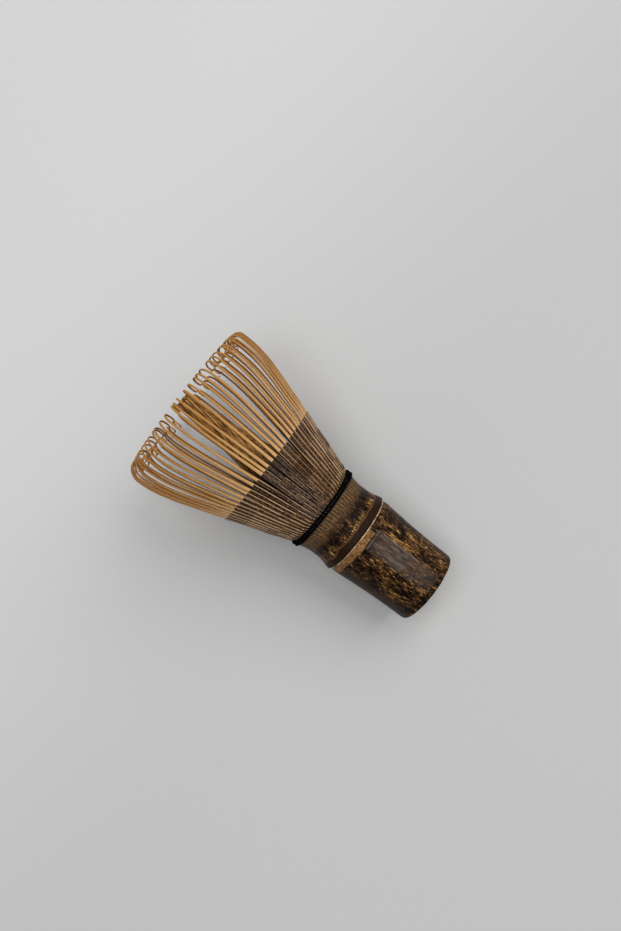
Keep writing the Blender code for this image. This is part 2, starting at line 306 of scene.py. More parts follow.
def grow_blade(name, sections):
    """A split blade in the plane y = 0, drawn out of a flat rectangle. Each section is the radius and the
    height of the blade's middle, its width and its thickness. Returns the blade and, for each length of it,
    the middle and the lean."""
    leans = [heading(a, b) for a, b in zip(sections, sections[1:])]
    leans = [leans[0], *leans, leans[-1]]
    turns = [(before + after) / 2 for before, after in zip(leans, leans[1:])]
    for i in range(1, len(turns)):
        while turns[i] - turns[i - 1] > math.pi / 2:
            turns[i] -= math.tau if turns[i] - turns[i - 1] > math.pi else math.pi
    radius, height, width, thickness = sections[0]
    deselect()
    bpy.ops.mesh.primitive_plane_add(size=1, location=(radius, 0, height))
    blade = bpy.context.object
    blade.name = name
    bpy.ops.object.mode_set(mode="EDIT")
    bpy.ops.mesh.select_mode(type="FACE")
    bpy.ops.mesh.select_all(action="SELECT")
    bpy.ops.transform.resize(value=(thickness, width, 1), center_override=(radius, 0, height))
    lean = 0.0
    path = []
    for (new_radius, new_height, new_width, new_thickness), new_lean in zip(sections[1:], turns[1:]):
        move = Vector((new_radius - radius, 0, new_height - height))
        middle = Vector((radius, 0, height)) + move / 2
        path.append((middle, heading((radius, height), (new_radius, new_height))))
        bpy.ops.mesh.extrude_region_move(TRANSFORM_OT_translate={"value": move})
        place = (new_radius, 0, new_height)
        bpy.ops.transform.rotate(value=lean - new_lean, orient_axis="Y", center_override=place)
        thinner = new_thickness / thickness
        narrower = new_width / width
        bpy.ops.transform.resize(value=(thinner, narrower, thinner), center_override=place)
        radius, height = new_radius, new_height
        width, thickness = new_width, new_thickness
        lean = new_lean
    object_mode()
    settle(blade)
    return blade, path


def arc_on(points, lean, radius, angle, count, end_radius=None):
    """Carries a run of (radius, height) points on by an arc that turns inwards and may tighten.
    Returns the lean at its end."""
    end_radius = end_radius or radius
    step = angle / count
    for i in range(count):
        bend = radius + (end_radius - radius) * (i + 0.5) / count
        chord = 2 * bend * math.sin(step / 2)
        middle = lean - step / 2
        x, z = points[-1]
        points.append((x + chord * math.sin(middle), z + chord * math.cos(middle)))
        lean -= step
    return lean


def between(keys, height):
    """The value at this height on a run of (height, value) keys."""
    for (low, first), (high, second) in zip(keys, keys[1:]):
        if height < high:
            return first + (second - first) * max(0.0, (height - low) / (high - low))
    return keys[-1][1]


# ---------------------------------------------------------------- finishes


class Finish:
    """A material and the node chain that feeds its shader."""

    def __init__(self, name, roughness=0.5, specular=0.5):
        self.material = bpy.data.materials.new(name)
        self.material.use_nodes = True
        self.nodes = self.material.node_tree.nodes
        self.links = self.material.node_tree.links
        self.shader = self.nodes["Principled BSDF"]
        self.shader.inputs["Roughness"].default_value = roughness
        self.shader.inputs["Specular IOR Level"].default_value = specular
        self.place = self.nodes.new("ShaderNodeTexCoord").outputs["Object"]

    def feed(self, socket, value):
        if isinstance(value, bpy.types.NodeSocket):
            self.links.new(value, socket)
        else:
            socket.default_value = value

    def noise(self, size, along=1.0, detail=4.0, rough=0.55, warp=0.0):
        """Noise with spots size across, drawn out along the culm by the factor along."""
        mapping = self.nodes.new("ShaderNodeMapping")
        mapping.inputs["Scale"].default_value = (1, 1, 1 / along)
        self.links.new(self.place, mapping.inputs["Vector"])
        noise = self.nodes.new("ShaderNodeTexNoise")
        noise.inputs["Scale"].default_value = 1 / size
        noise.inputs["Detail"].default_value = detail
        noise.inputs["Roughness"].default_value = rough
        noise.inputs["Distortion"].default_value = warp
        self.links.new(mapping.outputs["Vector"], noise.inputs["Vector"])
        return noise.outputs["Fac"]

    def ramp(self, value, *stops, smooth=False):
        """Colours or greys at places from 0 to 1."""
        ramp = self.nodes.new("ShaderNodeValToRGB")
        ramp.color_ramp.interpolation = "EASE" if smooth else "LINEAR"
        elements = ramp.color_ramp.elements
        while len(elements) < len(stops):
            elements.new(0.5)
        for element, (place, colour) in zip(elements, stops):
            element.position = place
            element.color = (*colour, 1) if isinstance(colour, tuple) else (colour, colour, colour, 1)
        self.feed(ramp.inputs["Fac"], value)
        return ramp.outputs["Color"]

    def mix(self, share, first, second, kind="MIX"):
        mix = self.nodes.new("ShaderNodeMix")
        mix.data_type = "RGBA"
        mix.blend_type = kind
        self.feed(mix.inputs[0], share)
        for socket, value in ((mix.inputs[6], first), (mix.inputs[7], second)):
            self.feed(socket, (*value, 1) if isinstance(value, tuple) else value)
        return mix.outputs[2]

    def maths(self, kind, first, second=0.0, third=0.0):
        node = self.nodes.new("ShaderNodeMath")
        node.operation = kind
        for socket, value in zip(node.inputs, (first, second, third)):
            self.feed(socket, value)
        return node.outputs[0]

    def axis(self, name):
        split = self.nodes.new("ShaderNodeSeparateXYZ")
        self.links.new(self.place, split.inputs[0])
        return split.outputs[name]

    def rising(self, value, low, high):
        """0 below low, 1 above high, and smooth between."""
        spread = self.nodes.new("ShaderNodeMapRange")
        spread.interpolation_type = "SMOOTHSTEP"
        self.feed(spread.inputs["Value"], value)
        spread.inputs["From Min"].default_value = low
        spread.inputs["From Max"].default_value = high
        return spread.outputs["Result"]

    def falling(self, value, low, high):
        """1 below low, 0 above high, and smooth between."""
        return self.rising(value, high, low)

    def times(self, first, second):
        return self.maths("MULTIPLY", first, second)

    def uneven(self, value, size, reach, detail=4.0):
        """The value with up to reach added, in spots of this size."""
        return self.maths("MULTIPLY_ADD", self.noise(size, detail=detail), reach, value)

    def azimuth(self):
        return self.maths("ARCTAN2", self.axis("Y"), self.axis("X"))

    def bump(self, height, depth, strength=1.0):
        bump = self.nodes.new("ShaderNodeBump")
        bump.inputs["Strength"].default_value = strength
        bump.inputs["Distance"].default_value = depth
        self.links.new(height, bump.inputs["Height"])
        self.links.new(bump.outputs["Normal"], self.shader.inputs["Normal"])

    def colour(self, socket):
        self.links.new(socket, self.shader.inputs["Base Color"])

    def roughness(self, socket):
        self.links.new(socket, self.shader.inputs["Roughness"])


# Shades of the bamboo, darkest first
CHAR = (0.003, 0.0014, 0.0008)
UMBER = (0.019, 0.0082, 0.0032)
CHESTNUT = (0.075, 0.036, 0.0125)
AMBER = (0.225, 0.105, 0.028)
HONEY = (0.5, 0.28, 0.095)

# What the shares of streaks and grains add to the stain's level
STREAK_SHARE = 1.15
GRAIN_SHARE = 0.95


def mottled(finish, lift=0.0, streak=0.36, cloud=1.3):
    """The smoke-stained skin: dark clouds, with golden streaks and grains along the culm. More lift shows
    more gold, streak is the streaks' width in millimetres, and cloud is how strong the clouds are. Returns
    the stain's colour, its level from dark to gold, and the streaks."""
    clouds = finish.noise(3.2 * MM, along=1.9, detail=3, rough=0.6, warp=0.6)
    streaks = finish.noise(streak * MM, along=5.5, detail=1)
    grains = finish.noise(0.42 * MM, along=1.7, detail=2, rough=0.6)
    level = finish.maths("MULTIPLY_ADD", streaks, STREAK_SHARE, finish.times(clouds, cloud))
    level = finish.maths("MULTIPLY_ADD", grains, GRAIN_SHARE, level)
    centred = 0.5 - (STREAK_SHARE + GRAIN_SHARE + cloud) / 2
    level = finish.maths("ADD", level, finish.maths("ADD", centred, lift))
    stain = finish.ramp(level, (0.36, CHAR), (0.5, UMBER), (0.64, CHESTNUT), (0.8, AMBER), (0.98, HONEY))
    return stain, level, streaks


def skin_surface(finish, colour, level, relief, depth, strength):
    """The colour, sheen and relief that every smoked skin has. The gold is rougher than the dark."""
    finish.colour(colour)
    finish.roughness(finish.ramp(level, (0.35, 0.36), (0.65, 0.5)))
    finish.bump(relief, depth, strength)
    return finish.material


def smoked_skin():
    """Handle: mottled skin, golder on the right, with a painted grey sheen along its left edge, and tan under
    the node.
    """
    finish = Finish("smoked_skin", roughness=0.42, specular=0.06)
    golden_side = finish.times(finish.rising(finish.axis("X"), 1 * MM, 9 * MM), 0.08)
    stain, level, fibres = mottled(finish, lift=finish.maths("ADD", golden_side, -0.03))
    # Painted sheen: the grey at the far left edge stands in for light glancing off the skin there.
    painted_left_sheen = finish.falling(finish.axis("X"), -12.4 * MM, -10.2 * MM)
    stain = finish.mix(finish.times(painted_left_sheen, 0.65), stain, (0.03, 0.0185, 0.014))
    ragged = finish.uneven(finish.axis("Z"), 3.5 * MM, 3.0 * MM, detail=5)
    left_side = finish.falling(finish.uneven(finish.axis("X"), 4 * MM, 4 * MM), 6.2 * MM, 6.8 * MM)
    collar = finish.times(finish.rising(ragged, HANDLE_TOP - 1.2 * MM, HANDLE_TOP - 0.9 * MM), left_side)
    flecks = finish.noise(0.45 * MM, along=3, detail=4, rough=0.7)
    tan = finish.ramp(
        flecks, (0.34, (0.06, 0.026, 0.009)), (0.48, (0.19, 0.09, 0.028)), (0.62, (0.4, 0.22, 0.085))
    )
    edge = finish.times(finish.rising(ragged, HANDLE_TOP - 1.9 * MM, HANDLE_TOP - 1.3 * MM), left_side)
    colour = finish.mix(finish.times(edge, 0.7), stain, (0.035, 0.013, 0.006))
    colour = finish.mix(finish.times(collar, 0.9), colour, tan)
    relief = finish.maths("MULTIPLY_ADD", fibres, 0.35, level)
    return skin_surface(finish, colour, level, relief, 0.16 * MM, 0.75)


def neck_skin():
    """Neck: the dark sheath scar at its foot, gold above it, and worn, slit ends under the tines."""
    finish = Finish("neck_skin", roughness=0.44, specular=0.06)
    stain, level, fibres = mottled(finish, lift=-0.1)
    bright, _, _ = mottled(finish, lift=0.06)
    height = finish.axis("Z")
    wave = finish.noise(6 * MM, detail=3)
    ragged = finish.maths("MULTIPLY_ADD", wave, 3.0 * MM, height)
    gold = finish.falling(ragged, NECK_FOOT + 5.5 * MM, NECK_FOOT + 8.5 * MM)
    colour = finish.mix(gold, stain, bright)
    lip = finish.falling(ragged, NECK_FOOT + 4.8 * MM, NECK_FOOT + 5.1 * MM)
    brown = finish.mix(wave, (0.04, 0.016, 0.006), (0.15, 0.07, 0.022))
    colour = finish.mix(finish.times(lip, 0.8), colour, brown)
    scar = finish.falling(ragged, NECK_FOOT + 4.1 * MM, NECK_FOOT + 4.35 * MM)
    dark = finish.mix(finish.noise(0.6 * MM, along=2), (0.003, 0.0015, 0.001), (0.034, 0.013, 0.005))
    colour = finish.mix(scar, colour, dark)
    ends = finish.uneven(height, 1.1 * MM, 3.5 * MM, detail=1)
    wear_and_painted_highlight = finish.times(finish.rising(ends, NECK_TOP - 5 * MM, NECK_TOP - 0.5 * MM), 0.62)
    grain = finish.noise(0.16 * MM, along=14, detail=3)
    bare = finish.ramp(grain, (0.36, UMBER), (0.5, (0.12, 0.062, 0.026)), (0.64, (0.3, 0.17, 0.08)))
    colour = finish.mix(wear_and_painted_highlight, colour, bare)
    spread = finish.times(finish.azimuth(), 1 / TINE_PITCH)
    slit = finish.maths("ABSOLUTE", finish.maths("SUBTRACT", finish.maths("FRACT", spread), 0.5))
    slit = finish.rising(slit, 0.38, 0.48)
    slit = finish.times(slit, finish.rising(ends, NECK_TOP - 2.6 * MM, NECK_TOP + 0.6 * MM))
    colour = finish.mix(finish.times(slit, 0.5), colour, (0.45, 0.3, 0.17))
    relief = finish.maths("SUBTRACT", finish.maths("MULTIPLY_ADD", fibres, 0.35, level), slit)
    return skin_surface(finish, colour, level, relief, 0.14 * MM, 0.7)


def tine_skin():
    """Skin left on the foot of each outer tine: finer than the handle's, with a painted grey sheen in front,
    warm at the sides, and darkest where it ends."""
    finish = Finish("tine_skin", roughness=0.42, specular=0.1)
    stain, level, fibres = mottled(finish, lift=0.02, streak=0.3, cloud=0.7)
    # Painted sheen: the grey in front stands in for a reflection of the lamps, and gives way to warm skin at
    # the sides.
    painted_front_sheen = finish.ramp(fibres, (0.35, (0.02, 0.013, 0.011)), (0.65, (0.19, 0.135, 0.115)))
    warm = finish.ramp(fibres, (0.35, (0.012, 0.005, 0.002)), (0.65, (0.13, 0.06, 0.025)))
    drift = finish.uneven(finish.maths("ABSOLUTE", finish.axis("X")), 5 * MM, 5 * MM, detail=1)
    painted_front_sheen = finish.mix(finish.rising(drift, 5 * MM, 10 * MM), painted_front_sheen, warm)
    colour = finish.mix(0.45, stain, painted_front_sheen)
    ragged = finish.uneven(finish.axis("Z"), 2.5 * MM, 6 * MM, detail=3)
    top = finish.rising(ragged, SKIN_TOP - 3.2 * MM, SKIN_TOP + 2.6 * MM)
    colour = finish.mix(finish.times(top, 0.6), colour, (0.026, 0.015, 0.01))
    relief = finish.maths("MULTIPLY_ADD", fibres, 0.4, level)
    return skin_surface(finish, colour, level, relief, 0.1 * MM, 0.6)


def peeled_bamboo():
    """The shaved outer face of a tine, straw above the skin and deeper gold towards its curl."""
    finish = Finish("peeled_bamboo", roughness=0.45, specular=0.22)
    fibres = finish.noise(0.14 * MM, along=40, detail=3)
    tone = finish.noise(2.2 * MM, along=6, detail=3)
    straw = finish.mix(tone, (0.56, 0.3, 0.105), (0.7, 0.42, 0.165))
    gold = finish.mix(tone, (0.36, 0.155, 0.027), (0.52, 0.255, 0.055))
    pale = finish.mix(finish.rising(finish.axis("Z"), SKIN_TOP + 6 * MM, CROWN_TOP - 4 * MM), straw, gold)
    finish.colour(finish.mix(finish.ramp(fibres, (0.42, 0.0), (0.62, 0.42)), pale, (0.36, 0.155, 0.034)))
    finish.roughness(finish.ramp(tone, (0.3, 0.38), (0.7, 0.5)))
    finish.bump(fibres, 0.05 * MM, 0.5)
    return finish.material


def split_bamboo():
    """The split sides of a tine: cream under the skin, and brown where the blade is thin, partly painted
    shade on the sides.
    """
    finish = Finish("split_bamboo", roughness=0.55, specular=0.15)
    fibres = finish.noise(0.12 * MM, along=40, detail=3)
    # The brown of the sides above the skin is partly their own colour and partly painted shade, which darkens
    # the lines between the tines.
    thin = finish.rising(finish.axis("Z"), SKIN_TOP - 2 * MM, SKIN_TOP + 8 * MM)
    side = finish.mix(thin, (0.62, 0.41, 0.24), (0.4, 0.18, 0.045))
    finish.colour(finish.mix(finish.ramp(fibres, (0.4, 0.0), (0.65, 0.4)), side, (0.2, 0.08, 0.02)))
    finish.bump(fibres, 0.06 * MM, 0.6)
    return finish.material


def core_bamboo():
    """Inner culm wood in the twisted core: blades of many shades, painted shade darkening them at the root,
    scorched at the tip.
    """
    finish = Finish("core_bamboo", roughness=0.5, specular=0.15)
    fibres = finish.noise(0.15 * MM, along=25, detail=3)
    tone = finish.noise(0.7 * MM, along=18, detail=2)
    base = finish.ramp(
        tone, (0.36, (0.07, 0.026, 0.006)), (0.48, (0.32, 0.14, 0.028)), (0.62, (0.58, 0.3, 0.075))
    )
    colour = finish.mix(finish.ramp(fibres, (0.4, 0.0), (0.62, 0.4)), base, (0.16, 0.06, 0.014))
    # Painted shade: below the open part the blades are painted nearly black, as the shade deep inside the
    # tines.
    above_painted_shade = finish.rising(finish.axis("Z"), SKIN_TOP - 5 * MM, SKIN_TOP + 13 * MM)
    colour = finish.mix(above_painted_shade, (0.008, 0.0035, 0.0015), colour)
    near_tip = finish.rising(finish.axis("Z"), CORE_TOP - 9 * MM, CORE_TOP - 3 * MM)
    scorched = finish.times(near_tip, finish.falling(tone, 0.4, 0.6))
    finish.colour(finish.mix(scorched, colour, (0.04, 0.015, 0.004)))
    finish.bump(fibres, 0.06 * MM, 0.6)
    return finish.material


def inner_bamboo():
    """The inner face of a tine, browned by smoke, and painted nearly black as shade down where the tines
    crowd together.
    """
    finish = Finish("inner_bamboo", roughness=0.6, specular=0.1)
    fibres = finish.noise(0.12 * MM, along=40, detail=3)
    # Painted shade: low down, where the tines crowd together, the inner faces are painted nearly black.
    above_painted_shade = finish.rising(finish.axis("Z"), SKIN_TOP - 6 * MM, SKIN_TOP + 12 * MM)
    brown = finish.mix(fibres, (0.15, 0.06, 0.015), (0.36, 0.17, 0.05))
    finish.colour(finish.mix(above_painted_shade, (0.008, 0.0035, 0.0015), brown))
    finish.bump(fibres, 0.06 * MM, 0.6)
    return finish.material


def burnished_flat():
    """The flat on the handle: the stain shows through a smoothed, greyer surface, with painted shade and
    highlights at its edges.
    """
    finish = Finish("burnished_flat", roughness=0.45, specular=0.15)
    stain, _, _ = mottled(finish, lift=0.03)
    fibres = finish.noise(0.17 * MM, along=16, detail=4)
    tone = finish.noise(1.2 * MM, along=3.5, detail=6, rough=0.7)
    grey = finish.ramp(
        tone, (0.38, (0.028, 0.018, 0.013)), (0.5, (0.09, 0.063, 0.049)), (0.62, (0.18, 0.132, 0.104))
    )
    grey = finish.mix(finish.ramp(fibres, (0.42, 0.0), (0.6, 0.55)), grey, (0.03, 0.017, 0.012))
    height = finish.axis("Z")
    side = finish.times(finish.maths("SUBTRACT", finish.azimuth(), PANEL_AZIMUTH), PANEL_DISTANCE)
    ragged = finish.maths("MULTIPLY_ADD", tone, 5 * MM, side)
    kept = finish.maths("MULTIPLY_ADD", finish.rising(height, 1 * MM, 16 * MM), 0.5, 0.3)
    kept = finish.times(kept, finish.rising(ragged, -1.9 * MM, 1.6 * MM))
    colour = finish.mix(kept, stain, grey)
    # Painted shade: the band under the top edge of the flat is darkened as if it lay in the shade of its lip.
    shaded = finish.rising(height, PANEL_TOP - 3 * MM, PANEL_TOP - 0.6 * MM)
    colour = finish.mix(finish.times(shaded, 0.65), colour, (0.02, 0.012, 0.009))
    # Painted highlights: light lines along the top and the right edge stand in for light caught by the flat's
    # border.
    painted_highlight_top = finish.times(
        finish.rising(height, PANEL_TOP - 1.1 * MM, PANEL_TOP - 0.85 * MM),
        finish.falling(height, PANEL_TOP - 0.7 * MM, PANEL_TOP - 0.45 * MM),
    )
    painted_highlight_side = finish.times(
        finish.rising(side, 3.3 * MM, 3.5 * MM), finish.falling(side, 3.75 * MM, 3.95 * MM)
    )
    painted_highlight_side = finish.times(painted_highlight_side, finish.rising(height, 6 * MM, 14 * MM))
    painted_highlight_side = finish.times(painted_highlight_side, finish.falling(height, PANEL_TOP - 3 * MM, PANEL_TOP - 1.6 * MM))
    wear_and_painted_highlight = finish.times(finish.maths("MAXIMUM", painted_highlight_top, painted_highlight_side), finish.rising(tone, 0.25, 0.6))
    finish.colour(finish.mix(finish.times(wear_and_painted_highlight, 0.5), colour, (0.26, 0.2, 0.17)))
    finish.roughness(finish.ramp(tone, (0.3, 0.36), (0.7, 0.5)))
    finish.bump(finish.maths("MULTIPLY_ADD", fibres, 0.4, tone), 0.09 * MM, 0.8)
    return finish.material


def raw_end():
    """Sawn and bored bamboo: pith dots in pale ground tissue, stained towards the skin."""
    finish = Finish("raw_end", roughness=0.7)
    dots = finish.noise(0.35 * MM, detail=2)
    base = finish.mix(finish.noise(2 * MM, detail=4), (0.42, 0.25, 0.1), (0.6, 0.4, 0.2))
    finish.colour(finish.mix(finish.ramp(dots, (0.56, 0.0), (0.66, 0.75)), base, CHESTNUT))
    finish.bump(dots, 0.08 * MM, 0.7)
    return finish.material


def scar_rim():
    """The pale line of cut sheath in the groove at the node."""
    finish = Finish("scar_rim", roughness=0.5)
    tone = finish.noise(1.5 * MM, detail=4)
    cream = finish.ramp(tone, (0.36, (0.1, 0.05, 0.02)), (0.5, (0.4, 0.26, 0.13)), (0.64, (0.68, 0.5, 0.3)))
    finish.colour(cream)
    finish.bump(finish.noise(0.3 * MM, detail=3), 0.05 * MM, 0.6)
    return finish.material


def black_cotton():
    """The thread: matt and fuzzy, with hardly any sheen."""
    finish = Finish("black_cotton", roughness=0.9, specular=0.01)
    fibres = finish.noise(0.09 * MM, detail=4, rough=0.7)
    finish.colour(finish.mix(fibres, (0.0004, 0.0004, 0.0006), (0.005, 0.005, 0.0065)))
    finish.bump(fibres, 0.09 * MM, 0.9)
    return finish.material


# ---------------------------------------------------------------- pieces


def add_materials(piece, *materials):
    for material in materials:
        piece.data.materials.append(material)


def finished(piece, body, slot, nodes, *materials):
    """Names the body that the piece moves with and the nodes that it stands for; its finish, slot, is not
    used.
    """
    add_materials(piece, *materials)
    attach(piece, body)
    if nodes:
        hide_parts(*nodes)


def assign(piece, slot, wanted):
    """Gives the faces for which wanted(face) is true the piece's material in that slot."""
    select_faces(piece, wanted)
    piece.active_material_index = slot
    bpy.ops.object.material_slot_assign()
    object_mode()


def make_handle(skin, end, flat):
    """The hollow handle with its node ridge. Its bore and its sawn ends are raw wood."""
    outside = rounded(
        in_mm(
            [(13.8, 0.28), (13.9, 0.9), (13.92, 3.5), (13.98, 8), (14.18, 13)]
            + [(14.42, 18), (14.74, 23), (15.04, 27), (15.22, 29)]
        )
    )
    ridge = in_mm([(15.29, 29.8), (15.27, 30.6), (15.12, 31.3), (14.9, 31.76)])
    ridge.append((14.55 * MM, HANDLE_TOP))
    bore = [(BORE + 0.2 * MM, HANDLE_TOP), (BORE, HANDLE_TOP - 0.4 * MM)]
    bore += [(BORE, height * MM) for height in (20, 10, 0.3)]
    foot = in_mm([(10.45, 0), (13.3, 0), (13.66, 0.07)])
    handle = turn_tube("culm_handle", HANDLE_SIDES, [*outside, *ridge, *bore, *foot])
    roughen(handle, 5 * MM, 0.16 * MM)
    cut_panel(handle)
    add_materials(handle, skin, end, flat)

    def raw(face):
        outwards = Vector((face.center.x, face.center.y, 0)).normalized()
        return face.center.xy.length < HANDLE_SKIN_RADIUS and face.normal.dot(outwards) < 0.5

    def flattened(face):
        looks_out = face.normal.dot(PANEL_OUTWARD) > 0.9
        return looks_out and face.center.dot(PANEL_OUTWARD) > PANEL_FLOOR and in_panel(face.center)

    assign(handle, 1, raw)
    assign(handle, 2, flattened)
    smooth(handle, 35)
    finished(handle, "culm", "smoked_skin", ["handle"])


def in_panel(point):
    """Whether the point lies on the flat and not on the skin round it."""
    level = point.z - PANEL_MIDDLE
    inside = abs(point.dot(PANEL_ACROSS)) < PANEL_WIDTH / 2 and abs(level) < PANEL_HEIGHT / 2
    distance = PANEL_DISTANCE + level * math.tan(PANEL_LEAN)
    return inside and point.dot(PANEL_OUTWARD) < distance + 0.16 * MM


def cut_panel(handle):
    """Cuts the flat into the front of the handle, with a fine groove inside its border."""
    deselect()
    depth = 3 * MM
    bpy.ops.mesh.primitive_cube_add(size=1, location=(0, 0, 0))
    block = bpy.context.object
    block.name = "panel_block"
    bpy.ops.object.mode_set(mode="EDIT")
    bpy.ops.mesh.select_all(action="SELECT")
    bpy.ops.transform.resize(value=(depth, PANEL_WIDTH, PANEL_HEIGHT))
    select_faces(block, lambda face: face.normal.x < -0.9)
    bpy.ops.mesh.inset(thickness=PANEL_BORDER, depth=-PANEL_GROOVE_DEPTH)
    bpy.ops.mesh.inset(thickness=PANEL_GROOVE_WIDTH, depth=0)
    object_mode()
    sharp = math.radians(60)
    apply_modifier(
        block, "BEVEL", width=PANEL_ROUNDING, segments=2, limit_method="ANGLE", angle_limit=sharp
    )
    lean = Matrix.Rotation(PANEL_LEAN, 4, "Y")
    place = Matrix.Translation((PANEL_DISTANCE + depth / 2, 0, PANEL_MIDDLE))
    block.matrix_world = Matrix.Rotation(PANEL_AZIMUTH, 4, "Z") @ place @ lean
    settle(block)
    apply_modifier(handle, "BOOLEAN", operation="DIFFERENCE", object=block, solver="EXACT")
    discard(block)


def make_septum(end):
    """The wall across the culm at the node, dished on its underside."""
    low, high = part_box("node_septum")
    middle = (0, 0, (low.z + high.z) / 2)
    deselect()
    bpy.ops.mesh.primitive_cylinder_add(vertices=64, radius=high.x, depth=high.z - low.z, location=middle)
    septum = bpy.context.object
    septum.name = "node_diaphragm"
    settle(septum)
    select_faces(septum, lambda face: face.normal.z < -0.9)
    for inset, sink in in_mm([(0.8, 0.35), (2.2, 0.4), (3, 0.15)]):
        bpy.ops.mesh.inset(thickness=inset, depth=0)
        bpy.ops.transform.translate(value=(0, 0, sink))
    object_mode()
    smooth(septum, 50)
    finished(septum, "culm", "cut_bamboo", ["node_septum"], end)


def make_neck(skin, end):
    """The neck with the flared lip of the sheath scar at its foot and the ends of the slits at its top."""
    foot = NECK_FOOT / MM
    top = NECK_TOP / MM
    lip = in_mm([(14.75, foot), (15.35, foot + 0.12), (15.68, foot + 0.4), (15.74, foot + 0.7)])
    outside = rounded(
        in_mm(
            [(15.66, foot + 1.2), (15.4, foot + 2.1), (15.1, foot + 3.2), (14.75, foot + 5)]
            + [(14.62, 39.4), (14.66, 41.4), (14.84, 43.2), (15.08, 44.6), (15.36, top - 0.2)]
        )
    )
    rim = [(15.34 * MM, NECK_TOP + 0.2 * MM), (14.9 * MM, NECK_TOP + 0.22 * MM)]
    bore = [(NECK_BORE, height) for height in (NECK_TOP, 42 * MM, 37 * MM, NECK_FOOT)]
    neck = turn_tube("culm_neck", NECK_SIDES, [*lip, *outside, *rim, *bore])
    roughen(neck, 6 * MM, 0.2 * MM)

    def in_slit(point):
        turns = (math.atan2(point.y, point.x) - TINE_PITCH / 2) / TINE_PITCH
        beside = abs(turns - round(turns)) < NECK_SLIT_SHARE
        return beside and point.z > NECK_TOP - NECK_SLIT_LENGTH and point.xy.length > 14.2 * MM

    select_points(neck, in_slit)
    bpy.ops.transform.resize(value=(NECK_SLIT_SINK, NECK_SLIT_SINK, 1), center_override=(0, 0, 0))
    object_mode()
    add_materials(neck, skin, end)
    assign(neck, 1, lambda face: face.center.xy.length < NECK_SKIN_RADIUS)
    smooth(neck, 35)
    finished(neck, "culm", "smoked_skin", ["neck"])


def make_scar_rim(rim_finish):
    """The thin pale rim that shows in the groove between the handle and the neck."""
    height = (HANDLE_TOP + NECK_FOOT) / 2
    profile = in_mm([(14.5, -0.3), (15.12, -0.26), (15.24, -0.1), (15.22, 0.1), (14.9, 0.16), (14.5, 0.14)])
    rim = turn_tube("scar_rim", HANDLE_SIDES, [(radius, height + rise) for radius, rise in profile])
    roughen(rim, 4 * MM, 0.18 * MM, "Z")
    smooth(rim, 60)
    finished(rim, "culm", "cut_bamboo", [], rim_finish)


def tine_outline(shoulder, curl_radius, curl_angle, width_share):
    """Sections of an outer tine. The thread presses in its foot; it sweeps out over the thread, runs straight
    to the crown, bends upright there, and curls in at its tip. shoulder is how round the bend before the curl
    is, 0 to 1."""
    face = in_mm(
        [(15.04, 46.2), (15.04, 47.7), (15.1, 48.35), (15.45, 48.87), (15.97, 49.42)]
        + [(16.38, 50.2), (16.92, 51.8), (18.2, 55.4), (19.5, 59.2), (21.7, 66.1)]
    )
    face.append((23.9 * MM, SKIN_TOP - 0.06 * MM))
    face.append((23.8 * MM, SKIN_TOP + 0.06 * MM))
    face += in_mm([(25.2, 76.6), (26.45, 80.6), (28.72, 87.6), (30.0, 91.8), (31.0, 95.8), (31.65, 99.6)])
    bend = (2.8 + 4.2 * shoulder) * MM
    top = (106.8 - 3.0 * shoulder) * MM
    rise = top - face[-1][1]
    face.append((31.92 * MM, top - rise * 0.4))
    face.append((31.95 * MM, top))
    lean = arc_on(face, 0.0, bend, SHOULDER_TURN, SHOULDER_STEPS)
    curl_start = len(face)
    arc_on(face, lean, curl_radius, curl_angle, CURL_STEPS, curl_radius * CURL_TIGHTENING)
    leans = [heading(a, b) for a, b in zip(face, face[1:])]
    leans.append(leans[-1])
    sections = []
    for i, ((radius, height), lean) in enumerate(zip(face, leans)):
        curled = max(0.0, (i - curl_start) / (len(face) - 1 - curl_start))
        level = height if i < curl_start else CROWN_TOP
        width = (between(TINE_WIDTHS, level) - 0.12 * MM * curled) * width_share
        thickness = between(TINE_THICKNESSES, level) - 0.1 * MM * curled
        shift = thickness / 2
        middle = (radius - shift * math.cos(lean), height + shift * math.sin(lean))
        sections.append((*middle, width, thickness))
    return sections


def shade_tine(tine, path, materials):
    """Skin and peeled wood on the outer face, browned wood on the inner, and split wood on the sides."""
    add_materials(tine, *materials)

    def looks_out(face):
        """1 for a face that looks straight out from the blade, and -1 for one that looks in."""
        _, lean = min(path, key=lambda step: (step[0] - face.center).length_squared)
        return face.normal.dot(Vector((math.cos(lean), 0, -math.sin(lean))))

    def outer(face):
        return abs(face.center.y) < 0.1 * MM and looks_out(face) > 0.7

    def skinned(face):
        return outer(face) and face.center.z < SKIN_TOP and face.center.x < 26 * MM

    assign(tine, SPLIT_SLOT, lambda face: True)
    assign(tine, INNER_SLOT, lambda face: looks_out(face) < -0.7)
    assign(tine, PEELED_SLOT, outer)
    assign(tine, SKIN_SLOT, skinned)


def tine_patterns(materials):
    """Outer tines to copy, lying on +X, from the tightest shoulder to the roundest."""
    rng = random.Random(41)
    patterns = []
    sharp = math.radians(55)
    for i in range(PATTERNS):
        curl_radius = rng.uniform(*CURL_RADII) * MM
        curl_angle = math.radians(rng.uniform(*CURL_DEGREES))
        shoulder = min(1.0, max(0.0, i / (PATTERNS - 1) + rng.uniform(-0.08, 0.08)))
        sections = tine_outline(shoulder, curl_radius, curl_angle, rng.uniform(0.95, 1.05))
        tine, path = grow_blade(f"tine_pattern_{i}", sections)
        shade_tine(tine, path, materials)
        apply_modifier(
            tine, "BEVEL", width=TINE_EDGE, segments=1, limit_method="ANGLE", angle_limit=sharp
        )
        face_out(tine)
        patterns.append(tine)
    return patterns


